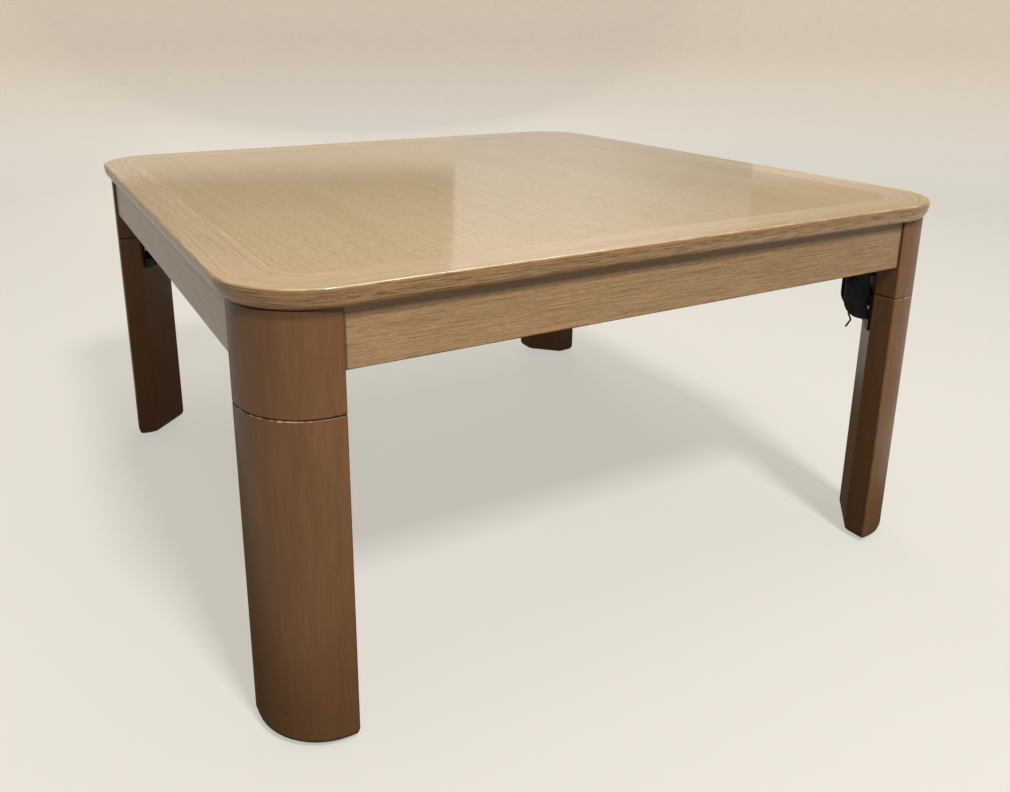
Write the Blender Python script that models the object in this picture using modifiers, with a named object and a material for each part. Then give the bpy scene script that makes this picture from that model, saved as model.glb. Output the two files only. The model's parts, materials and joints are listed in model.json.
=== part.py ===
"""Square low table whose four corner legs fold flat under the top.

Metres, +Z up. The origin is on the floor under the middle of the top, and the
sides of the top lie along X and Y. Each corner is modelled once, in a frame
whose origin is the leg's pivot: +X points inward along the diagonal of the
table, +Y across it and +Z up. Four quarter turns of that frame make the table.
"""

import math

import bmesh
import bpy
from mathutils import Matrix, Vector

# Clearances
FIT = 0.0003                 # between pieces that are fixed to each other
SEAM = 0.0008                # between a leg and the block above it
OVERLAP = 0.001              # how far shapes reach into each other before a union

# Smoothness of round shapes
CHORD_ERROR = 0.00012        # most that a straight stretch of an arc lies inside it
FASTENER_SIDES = 10
PIN_SIDES = 12
CURL_POINTS = 9              # points in one turn of a spring
BEND_POINTS = 3              # stretches in one bend of a wire

# Top: a veneered panel inside a bent rim
TOP_SIDE = 0.750
TABLE_HEIGHT = 0.385
TOP_THICKNESS = 0.017
RIM_WIDTH = 0.042
FIELD_CORNER_RADIUS = 0.034  # inner corner of the rim
RIM_ARRIS = 0.0015           # round-over along the upper edge
RIM_UNDERCUT = 0.0065        # how far the rim's side draws in towards its foot
RIM_SIDE_STEPS = 6
TONGUE_DEPTH = 0.006         # the panel's tongue in the rim's groove
TONGUE_THICKNESS = 0.006

# Aprons between the corners
APRON_HEIGHT = 0.049
APRON_THICKNESS = 0.020
APRON_INSET = 0.0105         # outer face, from the outline of the top
APRON_CHAMFER = 0.0012

# Corner blocks and legs, which share one section
LEG_INSET = 0.008            # outer faces, from the outline of the top
LEG_SPAN = 0.0675            # length of the section along each side
LEG_SIDE_DEPTH = 0.025       # width of its end faces
LEG_CORNER_RADIUS = 0.059
LEG_EASE = 0.0015            # rounding of its other upright edges
BLOCK_HEIGHT = 0.082
FOOT_ROUND = 0.008           # rounding of the leg's lower edge
FOOT_STEPS = 3
PAD_THICKNESS = 0.002
PAD_MARGIN = 0.002           # from the rounding to the edge of the pad

# Stub tenons on the aprons' ends, in the blocks
TENON_LENGTH = 0.016
TENON_THICKNESS = 0.010
TENON_HEIGHT = 0.028
TENON_DROP = 0.009           # below the top of the apron

# Cleats glued under the top and inside the aprons
CLEAT_LENGTH = 0.360
CLEAT_WIDTH = 0.036
CLEAT_HEIGHT = 0.018

# Screws
SCREW_DIAMETER = 0.0035
SCREW_HEAD_DIAMETER = 0.007
SCREW_HEAD_HEIGHT = 0.0022
SCREW_HEAD_CROWN = 0.6       # share of the head's radius that is flat on top
SCREW_BITE = 0.016           # into the leg or the block

# Hinge position
PIVOT_DROP = 0.018           # below the top of the frame
PIVOT_OFFSET = 0.012         # inward of the leg's diagonal face
FOLD_STOP_GAP = 0.0004       # left between folded ears and the base's flange

# Sheet steel of both brackets
PLATE = 0.002
PLATE_CORNER = 0.005

# Fixed bracket: back plate, flange under the top and two cheeks
BASE_WIDTH = 0.044
BASE_DROP = 0.048            # back plate, below the pivot
BASE_FLANGE_REACH = 0.020    # inward of the pivot
CHEEK_SPACING = 0.018        # between the cheeks' inner faces
CHEEK_RADIUS = 0.0115
CHEEK_FOOT = 0.022           # lower end of a cheek on the back plate, below the pivot
NOTCH_DEPTH = 0.002
BASE_SCREW_HIGH = 0.020      # both screws, below the pivot
BASE_SCREW_LOW = 0.038

# Moving bracket: flange on the leg and two ears outside the cheeks
LEG_FLANGE_WIDTH = 0.050
LEG_FLANGE_HEIGHT = 0.043
LEG_FLANGE_DROP = 0.0015     # upper edge, below the seam
EAR_GAP = 0.004              # from a cheek to the ear outside it
EAR_DROP = 0.033             # lower edge, below the seam
EAR_LOW_RADIUS = 0.020
EAR_HIGH = 0.014             # upper inner corner, below the pivot
EAR_HIGH_RADIUS = 0.005
EAR_EYE_RADIUS = 0.009
LEG_SCREW_SPACING = 0.042
LEG_SCREW_DROP = 0.016       # below the flange's upper edge

# Pivot pin
PIVOT_DIAMETER = 0.008
PIVOT_HEAD_DIAMETER = 0.013
PIVOT_HEAD_HEIGHT = 0.0022
PIN_HOLE_PLAY = 0.0003       # on the radius
PIN_HEAD_EDGE = 0.0006       # small slope round a rivet head

# Wire catch and its pin
CATCH_PIN_DIAMETER = 0.005
CATCH_PIN_HEAD_DIAMETER = 0.009
CATCH_PIN_HEAD_HEIGHT = 0.0016
CATCH_PIN_RISE = 0.0085      # above the seam
CATCH_PIN_REACH = 0.008      # inward of the pivot
WIRE_DIAMETER = 0.002
CATCH_TURNS = 3
CATCH_PITCH = 0.0025
CATCH_TAIL_ANGLE = math.radians(37)  # slope of the tail that leans on the flange
FINGER_KNEE = 0.038          # three points of the finger end, below the catch pin
FINGER_BEND = 0.0445
FINGER_TIP = 0.053
FINGER_SET = 0.006           # how far the bend is set back towards the leg
FINGER_FLARE = 0.0044        # how far the tip bends forward again

CORNERS = ("front_left", "front_right", "back_right", "back_left")
SIDES = ("front", "right", "back", "left")
QUARTER = math.pi / 2
ROOT2 = math.sqrt(2)
WELD = 0.00001

# Sizes that follow from the ones above
TOP_CORNER_RADIUS = FIELD_CORNER_RADIUS + RIM_WIDTH
HALF_TOP = TOP_SIDE / 2
HALF_FIELD = HALF_TOP - RIM_WIDTH
UNDERSIDE = TABLE_HEIGHT - TOP_THICKNESS
FRAME_TOP = UNDERSIDE - FIT
BLOCK_FOOT = UNDERSIDE - BLOCK_HEIGHT
PIVOT_Z = FRAME_TOP - PIVOT_DROP
SECTION_END = LEG_INSET + LEG_SPAN
SECTION_SUM = SECTION_END + LEG_INSET + LEG_SIDE_DEPTH  # x + y on the diagonal face
PIVOT_DIAGONAL = SECTION_SUM / ROOT2 + PIVOT_OFFSET     # from the corner of the outline
SEAM_Z = BLOCK_FOOT - PIVOT_Z
LEG_TOP_Z = SEAM_Z - SEAM
FLOOR_Z = -PIVOT_Z
PLATE_BACK = FIT - PIVOT_OFFSET
PLATE_FRONT = PLATE_BACK + PLATE
FLANGE_HIGH_Z = PIVOT_DROP
FLANGE_LOW_Z = FLANGE_HIGH_Z - PLATE
EAR_REACH = FLANGE_LOW_Z - FOLD_STOP_GAP
CHEEK_INNER = CHEEK_SPACING / 2
CHEEK_OUTER = CHEEK_INNER + PLATE
EAR_INNER = CHEEK_OUTER + EAR_GAP
EAR_OUTER = EAR_INNER + PLATE
LEG_FLANGE_TOP = SEAM_Z - LEG_FLANGE_DROP
EAR_LOW_Z = SEAM_Z - EAR_DROP
CATCH_PIN_Z = SEAM_Z + CATCH_PIN_RISE
SCREW_RADIUS = SCREW_DIAMETER / 2
SCREW_LENGTH = PLATE + SCREW_BITE
WIRE_RADIUS = WIRE_DIAMETER / 2
APRON_MIDDLE = APRON_INSET + APRON_THICKNESS / 2
APRON_REACH = HALF_TOP - SECTION_END - FIT              # half length of an apron
APRON_LOW = FRAME_TOP - APRON_HEIGHT


def empty_scene():
    for item in list(bpy.data.objects):
        bpy.data.objects.remove(item)


def collection(name):
    group = bpy.data.collections.new(name)
    bpy.context.scene.collection.children.link(group)
    return group


def material(name, colour, roughness, metallic=0.0):
    finish = bpy.data.materials.new(name)
    finish.use_nodes = True
    shader = finish.node_tree.nodes["Principled BSDF"]
    shader.inputs["Base Color"].default_value = (*colour, 1)
    shader.inputs["Roughness"].default_value = roughness
    shader.inputs["Metallic"].default_value = metallic
    finish.diffuse_color = (*colour, 1)
    return finish


# Shapes

def evaluated_mesh(item):
    """The mesh of an object with its modifiers, after which the object is removed."""
    graph = bpy.context.evaluated_depsgraph_get()
    mesh = bpy.data.meshes.new_from_object(item.evaluated_get(graph))
    bpy.data.objects.remove(item)
    return mesh


def closed(mesh):
    """Weld a mesh's caps to its sides and point its faces out."""
    shape = bmesh.new()
    shape.from_mesh(mesh)
    bmesh.ops.remove_doubles(shape, verts=shape.verts, dist=WELD)
    bmesh.ops.recalc_face_normals(shape, faces=shape.faces)
    shape.to_mesh(mesh)
    shape.free()
    return mesh


def moved(mesh, matrix):
    copy = mesh.copy()
    copy.transform(matrix)
    return copy


def gathered(meshes):
    """One mesh that holds several separate shapes."""
    shape = bmesh.new()
    for mesh in meshes:
        shape.from_mesh(mesh)
    result = bpy.data.meshes.new("gathered")
    shape.to_mesh(result)
    shape.free()
    return result


def rounded(corners):
    """Points of a closed outline, counterclockwise, from corners (x, y, radius).

    A fourth value sets the radius that a corner's points are spaced for.
    """
    points = []
    for index, (x, y, radius, *size) in enumerate(corners):
        corner = Vector((x, y))
        if radius <= 0:
            points.append(corner)
            continue
        before = (Vector(corners[index - 1][:2]) - corner).normalized()
        after = (Vector(corners[(index + 1) % len(corners)][:2]) - corner).normalized()
        half = before.angle(after) / 2
        centre = corner + (before + after).normalized() * radius / math.sin(half)
        arm = corner + before * radius / math.tan(half) - centre
        turn = math.pi - 2 * half
        if before.cross(after) > 0:
            turn = -turn
        points += arc(centre, arm, turn, *size)
    return points


def arc(centre, arm, turn, size=None):
    """Points from centre + arm, round the centre through the angle turn."""
    finest = 2 * math.acos(max(0, 1 - CHORD_ERROR / (size or arm.length)))
    steps = max(1, math.ceil(abs(turn) / finest))
    return [centre + Matrix.Rotation(turn * step / steps, 2) @ arm for step in range(steps + 1)]


def rounded_square(half, radius):
    """Outline of the top or of a part of it, with points in step with the top's own corners."""
    return rounded([(x * half, y * half, radius, TOP_CORNER_RADIUS)
                    for x, y in ((1, -1), (1, 1), (-1, 1), (-1, -1))])


def poly_curve(points, flat):
    """A curve through points, closed and flat for an outline, open for a wire."""
    curve = bpy.data.curves.new("line", "CURVE")
    curve.dimensions = "2D" if flat else "3D"
    spline = curve.splines.new("POLY")
    spline.points.add(len(points) - 1)
    for target, point in zip(spline.points, points):
        target.co = (*Vector(point).to_3d(), 1)
    spline.use_cyclic_u = flat
    return curve


def curve_mesh(curve):
    item = bpy.data.objects.new("line", curve)
    bpy.context.scene.collection.objects.link(item)
    return closed(evaluated_mesh(item))


def plate(outline, low, high, axis="Z"):
    """An outline given thickness from low to high along an axis.

    The outline is in X and Y for axis Z, in X and Z for axis Y, in Y and Z for axis X.
    """
    curve = poly_curve(outline, flat=True)
    curve.fill_mode = "BOTH"
    curve.extrude = (high - low) / 2
    turns = {
        "Z": Matrix.Identity(4),
        "Y": Matrix.Rotation(QUARTER, 4, "X"),
        "X": Matrix.Rotation(QUARTER, 4, "Z") @ Matrix.Rotation(QUARTER, 4, "X"),
    }
    middle = Vector([(low + high) / 2 if name == axis else 0 for name in "XYZ"])
    return moved(curve_mesh(curve), Matrix.Translation(middle) @ turns[axis])


def box(low, high):
    low = Vector(low)
    high = Vector(high)
    shape = bmesh.new()
    placing = Matrix.Translation((low + high) / 2) @ Matrix.Diagonal(high - low).to_4x4()
    bmesh.ops.create_cube(shape, size=1, matrix=placing)
    mesh = bpy.data.meshes.new("box")
    shape.to_mesh(mesh)
    shape.free()
    return mesh


def lofted(levels):
    """A solid through outlines of as many points each, given with their heights, low to high."""
    shape = bmesh.new()
    rings = [[shape.verts.new((*point, height)) for point in outline] for outline, height in levels]
    for lower, upper in zip(rings, rings[1:]):
        for index in range(len(lower)):
            shape.faces.new((lower[index - 1], lower[index], upper[index], upper[index - 1]))
    shape.faces.new(reversed(rings[0]))
    shape.faces.new(rings[-1])
    mesh = bpy.data.meshes.new("loft")
    shape.to_mesh(mesh)
    shape.free()
    return mesh


def rod(radius, start, end, sides):
    """A round bar between two points."""
    start = Vector(start)
    end = Vector(end)
    turn = (end - start).to_track_quat("Z", "Y").to_matrix().to_4x4()
    shape = bmesh.new()
    bmesh.ops.create_cone(shape, cap_ends=True, segments=sides, radius1=radius, radius2=radius,
                          depth=(end - start).length,
                          matrix=Matrix.Translation((start + end) / 2) @ turn)
    mesh = bpy.data.meshes.new("rod")
    shape.to_mesh(mesh)
    shape.free()
    return mesh


def turned(profile, sides):
    """A profile of (radius, height) points, top to bottom, turned round Z."""
    mesh = bpy.data.meshes.new("profile")
    points = [(radius, 0, height) for radius, height in profile]
    mesh.from_pydata(points, [(index, index + 1) for index in range(len(points) - 1)], [])
    item = bpy.data.objects.new("profile", mesh)
    bpy.context.scene.collection.objects.link(item)
    screw = item.modifiers.new("Turn", "SCREW")
    screw.axis = "Z"
    screw.steps = sides
    screw.render_steps = sides
    screw.use_merge_vertices = True
    screw.merge_threshold = WELD
    return closed(evaluated_mesh(item))


def combined(mesh, tools, operation):
    """A mesh with each tool joined to it (UNION) or cut from it (DIFFERENCE)."""
    subject = bpy.data.objects.new("subject", mesh)
    bpy.context.scene.collection.objects.link(subject)
    helpers = []
    for tool in tools:
        helper = bpy.data.objects.new("cutter", tool)
        helper.hide_render = True
        helper.display_type = "WIRE"
        bpy.data.collections["cutters"].objects.link(helper)
        helpers.append(helper)
        change = subject.modifiers.new("Combine", "BOOLEAN")
        change.operation = operation
        change.object = helper
    result = evaluated_mesh(subject)
    for helper in helpers:
        bpy.data.objects.remove(helper)
    return closed(result)


def joined(meshes):
    return combined(meshes[0], meshes[1:], "UNION")


def drilled(mesh, bars):
    """A mesh with bars that don't touch each other cut out."""
    return combined(mesh, [gathered(bars)], "DIFFERENCE")


# Fasteners

def screw_mesh():
    """A screw that points outward along -X, with the seat of its head at the origin."""
    head = SCREW_HEAD_DIAMETER / 2
    profile = [(0, SCREW_HEAD_HEIGHT), (head * SCREW_HEAD_CROWN, SCREW_HEAD_HEIGHT), (head, 0),
               (SCREW_RADIUS, 0), (SCREW_RADIUS, SCREW_DIAMETER - SCREW_LENGTH), (0, -SCREW_LENGTH)]
    return moved(turned(profile, FASTENER_SIDES), Matrix.Rotation(QUARTER, 4, "Y"))


def screw_holes(seats):
    """The bars of screws' holes, through the plate and into the wood."""
    out = Vector((PLATE, 0, 0))
    into = Vector((SCREW_LENGTH + FIT, 0, 0))
    return [rod(SCREW_RADIUS + FIT, seat + out, seat - into, FASTENER_SIDES) for seat in seats]


def rivet_mesh(diameter, half_grip, head_diameter, head_height):
    """A pin along Y with a head at each end, clear of what it holds by FIT."""
    radius = diameter / 2
    head = head_diameter / 2
    inner = half_grip + FIT
    outer = inner + head_height
    half = [(0, outer), (head - PIN_HEAD_EDGE, outer), (head, outer - PIN_HEAD_EDGE), (head, inner),
            (radius, inner)]
    profile = half + [(size, -height) for size, height in reversed(half)]
    return moved(turned(profile, PIN_SIDES), Matrix.Rotation(QUARTER, 4, "X"))


# Top

def rim_mesh():
    """The rim's section swept round the border of the field."""
    groove_low = UNDERSIDE + (TOP_THICKNESS - TONGUE_THICKNESS) / 2 - FIT
    groove_high = groove_low + TONGUE_THICKNESS + 2 * FIT
    arris = arc(Vector((RIM_WIDTH - RIM_ARRIS, TABLE_HEIGHT - RIM_ARRIS)), Vector((RIM_ARRIS, 0)),
                QUARTER)
    fall = TOP_THICKNESS - RIM_ARRIS
    side = []
    for step in range(RIM_SIDE_STEPS):
        turn = QUARTER * (1 - step / RIM_SIDE_STEPS)
        side.append(Vector((RIM_WIDTH - RIM_UNDERCUT * (1 - math.cos(turn)),
                            UNDERSIDE + fall * (1 - math.sin(turn)))))
    section = [Vector((0, UNDERSIDE))] + side + arris + [
        Vector((0, TABLE_HEIGHT)), Vector((0, groove_high)), Vector((TONGUE_DEPTH, groove_high)),
        Vector((TONGUE_DEPTH, groove_low)), Vector((0, groove_low))]
    outward = [Vector((-x, z)) for x, z in section]
    profile = bpy.data.objects.new("rim_section", poly_curve(outward, flat=True))
    bpy.context.scene.collection.objects.link(profile)
    border = poly_curve(rounded_square(HALF_FIELD, FIELD_CORNER_RADIUS), flat=True)
    border.fill_mode = "NONE"
    border.bevel_mode = "OBJECT"
    border.bevel_object = profile
    mesh = curve_mesh(border)
    bpy.data.objects.remove(profile)
    return mesh


def panel_mesh():
    """The field of the top, with a tongue all round."""
    middle = UNDERSIDE + TOP_THICKNESS / 2
    tongue = rounded_square(HALF_FIELD + TONGUE_DEPTH - FIT, FIELD_CORNER_RADIUS + TONGUE_DEPTH - FIT)
    return joined([
        plate(rounded_square(HALF_FIELD - FIT, FIELD_CORNER_RADIUS - FIT), UNDERSIDE, TABLE_HEIGHT),
        plate(tongue, middle - TONGUE_THICKNESS / 2, middle + TONGUE_THICKNESS / 2),
    ])


# Aprons and cleats, modelled at the front side

def tenon_boxes(play):
    """The two tenons of the front apron, or their mortises with play added."""
    y = APRON_MIDDLE - HALF_TOP
    half = TENON_THICKNESS / 2 + play
    reach = APRON_REACH + TENON_LENGTH + play
    root = APRON_REACH - OVERLAP
    high = FRAME_TOP - TENON_DROP + play
    low = high - TENON_HEIGHT - 2 * play
    return [box((-reach, y - half, low), (-root, y + half, high)),
            box((root, y - half, low), (reach, y + half, high))]


def apron_mesh():
    outer = APRON_INSET - HALF_TOP
    inner = outer + APRON_THICKNESS
    edge = APRON_CHAMFER
    section = [(outer, APRON_LOW + edge), (outer + edge, APRON_LOW), (inner - edge, APRON_LOW),
               (inner, APRON_LOW + edge), (inner, FRAME_TOP), (outer, FRAME_TOP)]
    return joined([plate(section, -APRON_REACH, APRON_REACH, "X")] + tenon_boxes(0))


def cleat_mesh():
    back = APRON_INSET + APRON_THICKNESS + FIT - HALF_TOP
    return box((-CLEAT_LENGTH / 2, back, FRAME_TOP - CLEAT_HEIGHT),
               (CLEAT_LENGTH / 2, back + CLEAT_WIDTH, FRAME_TOP))


# Corner pieces, modelled in the frame of the pivot

def at_corner(x, y):
    """A point given from the corner of the outline along both sides, as (inward, across)."""
    return Vector(((x + y) / ROOT2 - PIVOT_DIAGONAL, (y - x) / ROOT2))


def leg_section(inset=0.0):
    """Outline of leg and block, drawn in by an inset."""
    near = LEG_INSET + inset
    far = SECTION_END - inset
    slant = SECTION_SUM - inset * ROOT2 - far
    outer = min(LEG_CORNER_RADIUS - inset, far - near - LEG_EASE)
    corners = [(near, near, outer, LEG_CORNER_RADIUS), (far, near, LEG_EASE), (far, slant, LEG_EASE),
               (slant, far, LEG_EASE), (near, far, LEG_EASE)]
    return rounded([(*at_corner(x, y), *radii) for x, y, *radii in corners])


def block_mesh(holes):
    return drilled(plate(leg_section(), SEAM_Z, FLANGE_HIGH_Z), holes)


def leg_mesh(holes):
    """The leg, with its foot rounded all round."""
    low = FLOOR_Z + PAD_THICKNESS + FIT
    levels = []
    for step in range(FOOT_STEPS + 1):
        turn = QUARTER * step / FOOT_STEPS
        levels.append((leg_section(FOOT_ROUND * (1 - math.sin(turn))),
                       low + FOOT_ROUND * (1 - math.cos(turn))))
    levels.append((leg_section(), LEG_TOP_Z))
    return drilled(lofted(levels), holes)


def pad_mesh():
    return plate(leg_section(FOOT_ROUND + PAD_MARGIN), FLOOR_Z, FLOOR_Z + PAD_THICKNESS)


def cheek_outline():
    """A cheek of the base: round the pivot, notched for the wire at both ends of the fold."""
    floor = CHEEK_RADIUS - NOTCH_DEPTH
    notch = math.asin((WIRE_RADIUS + FIT) / floor)
    points = [Vector((PLATE_FRONT - OVERLAP, -CHEEK_FOOT))]
    start = -QUARTER
    for lock in (0, QUARTER):
        points += arc(Vector((0, 0)), polar(CHEEK_RADIUS, start), lock - notch - start)
        points += [polar(floor, lock - notch), polar(floor, lock + notch)]
        start = lock + notch
    points.append(polar(CHEEK_RADIUS, start))
    points.append(Vector((PLATE_FRONT - OVERLAP, FLANGE_LOW_Z + OVERLAP)))
    return points


def polar(radius, angle):
    return Vector((radius * math.cos(angle), radius * math.sin(angle)))


def base_mesh(holes):
    half = BASE_WIDTH / 2
    back = rounded([(-half, -BASE_DROP, PLATE_CORNER), (half, -BASE_DROP, PLATE_CORNER),
                    (half, FLANGE_HIGH_Z, 0), (-half, FLANGE_HIGH_Z, 0)])
    flange = rounded([(PLATE_BACK + OVERLAP, -half, 0), (BASE_FLANGE_REACH, -half, PLATE_CORNER),
                      (BASE_FLANGE_REACH, half, PLATE_CORNER), (PLATE_BACK + OVERLAP, half, 0)])
    parts = [plate(back, PLATE_BACK, PLATE_FRONT, "X"), plate(flange, FLANGE_LOW_Z, FLANGE_HIGH_Z)]
    for low in (CHEEK_INNER, -CHEEK_OUTER):
        parts.append(plate(cheek_outline(), low, low + PLATE, "Y"))
    return drilled(joined(parts), holes)


def ear_outline():
    """An ear of the leg bracket: an eye round the pivot, a straight inner edge, a round foot."""
    shoulder = math.acos(EAR_EYE_RADIUS / math.hypot(EAR_REACH, EAR_HIGH)) - math.atan2(EAR_HIGH, EAR_REACH)
    crown = EAR_EYE_RADIUS * (1 + math.cos(shoulder)) / math.sin(shoulder)
    root = PLATE_FRONT - OVERLAP
    neck = LEG_FLANGE_TOP - OVERLAP
    return rounded([
        (root, EAR_LOW_Z, 0), (EAR_REACH, EAR_LOW_Z, EAR_LOW_RADIUS),
        (EAR_REACH, -EAR_HIGH, EAR_HIGH_RADIUS), (-EAR_EYE_RADIUS, crown, EAR_EYE_RADIUS),
        (-EAR_EYE_RADIUS, neck, 0), (root, neck, 0)])


def leg_bracket_mesh(holes):
    half = LEG_FLANGE_WIDTH / 2
    low = LEG_FLANGE_TOP - LEG_FLANGE_HEIGHT
    flange = rounded([(-half, low, PLATE_CORNER), (half, low, PLATE_CORNER),
                      (half, LEG_FLANGE_TOP, PLATE_CORNER), (-half, LEG_FLANGE_TOP, PLATE_CORNER)])
    parts = [plate(flange, PLATE_BACK, PLATE_FRONT, "X")]
    for low in (EAR_INNER, -EAR_OUTER):
        parts.append(plate(ear_outline(), low, low + PLATE, "Y"))
    return drilled(joined(parts), holes)


def catch_path():
    """The wire catch: finger end, arm, bar across the cheeks, arm, coil on its pin, tail."""
    pin_x = CATCH_PIN_REACH
    pin_z = CATCH_PIN_Z
    coil = CATCH_PIN_DIAMETER / 2 + FIT + WIRE_RADIUS
    side = (CHEEK_OUTER + EAR_INNER) / 2
    bar_x = CHEEK_RADIUS - NOTCH_DEPTH + FIT + WIRE_RADIUS
    arm_x = pin_x + coil
    bend = side - CHEEK_OUTER
    lean = (bar_x - arm_x) / CATCH_PIN_Z
    points = [Vector((arm_x - FINGER_SET + FINGER_FLARE, side, pin_z - FINGER_TIP)),
              Vector((arm_x - FINGER_SET, side, pin_z - FINGER_BEND)),
              Vector((arm_x - FINGER_SET / 2, side, pin_z - FINGER_KNEE)),
              Vector((arm_x, side, pin_z))]
    for sign in (1, -1):
        for step in range(BEND_POINTS + 1):
            turn = QUARTER * (step if sign > 0 else BEND_POINTS - step) / BEND_POINTS
            drop = bend * (1 - math.sin(turn))
            points.append(Vector((bar_x + lean * drop, sign * (side - bend * (1 - math.cos(turn))), -drop)))
    sweep = 2 * math.pi * CATCH_TURNS + QUARTER - CATCH_TAIL_ANGLE
    steps = math.ceil(CURL_POINTS * sweep / (2 * math.pi))
    for step in range(steps + 1):
        angle = -sweep * step / steps
        run = CATCH_PITCH * sweep * step / steps / (2 * math.pi)
        points.append(Vector((pin_x + coil * math.cos(angle), run - side,
                              pin_z + coil * math.sin(angle))))
    heading = Vector((-math.cos(CATCH_TAIL_ANGLE), 0, -math.sin(CATCH_TAIL_ANGLE)))
    rest_x = PLATE_FRONT + FIT + WIRE_RADIUS
    points.append(points[-1] + heading * (points[-1].x - rest_x) / math.cos(CATCH_TAIL_ANGLE))
    return points


def least_gap(points, diameter):
    """Smallest clear distance between stretches of a wire that aren't neighbours."""
    run = [0.0]
    for first, second in zip(points, points[1:]):
        run.append(run[-1] + (second - first).length)
    least = math.inf
    for later in range(len(points)):
        for earlier in range(later):
            if run[later] - run[earlier] > 2 * math.pi * diameter:
                least = min(least, (points[later] - points[earlier]).length - diameter)
    return least


def catch_mesh():
    path = catch_path()
    print(f"wire catch, least gap to itself: {least_gap(path, WIRE_DIAMETER) * 1000:.2f} mm")
    curve = poly_curve(path, flat=False)
    curve.bevel_depth = WIRE_RADIUS
    curve.bevel_resolution = 1
    curve.use_fill_caps = True
    return curve_mesh(curve)


def base_seats():
    """Seats of the base's screws, one above the other between the cheeks."""
    return [Vector((PLATE_FRONT, 0, z)) for z in (-BASE_SCREW_LOW, -BASE_SCREW_HIGH)]


def leg_seats():
    """Seats of the leg bracket's screws, outside its ears."""
    return [Vector((PLATE_FRONT, side * LEG_SCREW_SPACING / 2, LEG_FLANGE_TOP - LEG_SCREW_DROP))
            for side in (-1, 1)]


def cross_hole(diameter, x, z):
    """The bar of a pin's hole through both cheeks or both ears."""
    reach = EAR_OUTER + PLATE
    return rod(diameter / 2 + PIN_HOLE_PLAY, (x, -reach, z), (x, reach, z), PIN_SIDES)


# Assembly

def corner_matrix(turn):
    """Placing of one corner's pivot frame."""
    reach = PIVOT_DIAGONAL / ROOT2 - HALF_TOP
    return (Matrix.Rotation(turn * QUARTER, 4, "Z") @ Matrix.Translation((reach, reach, PIVOT_Z))
            @ Matrix.Rotation(QUARTER / 2, 4, "Z"))


def add_empty(group, name, parent=None):
    item = bpy.data.objects.new(name, None)
    item.empty_display_size = PIVOT_OFFSET
    item.parent = parent
    group.objects.link(item)
    return item


def add_piece(group, name, mesh, finish, parent=None, smooth_angle=None):
    """One named piece, which may share its mesh with its copies."""
    item = bpy.data.objects.new(name, mesh)
    item.parent = parent
    group.objects.link(item)
    if not mesh.materials:
        mesh.materials.append(finish)
    if smooth_angle is not None:
        mesh.shade_smooth()
        mesh.set_sharp_from_angle(angle=smooth_angle)
    return item


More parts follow.
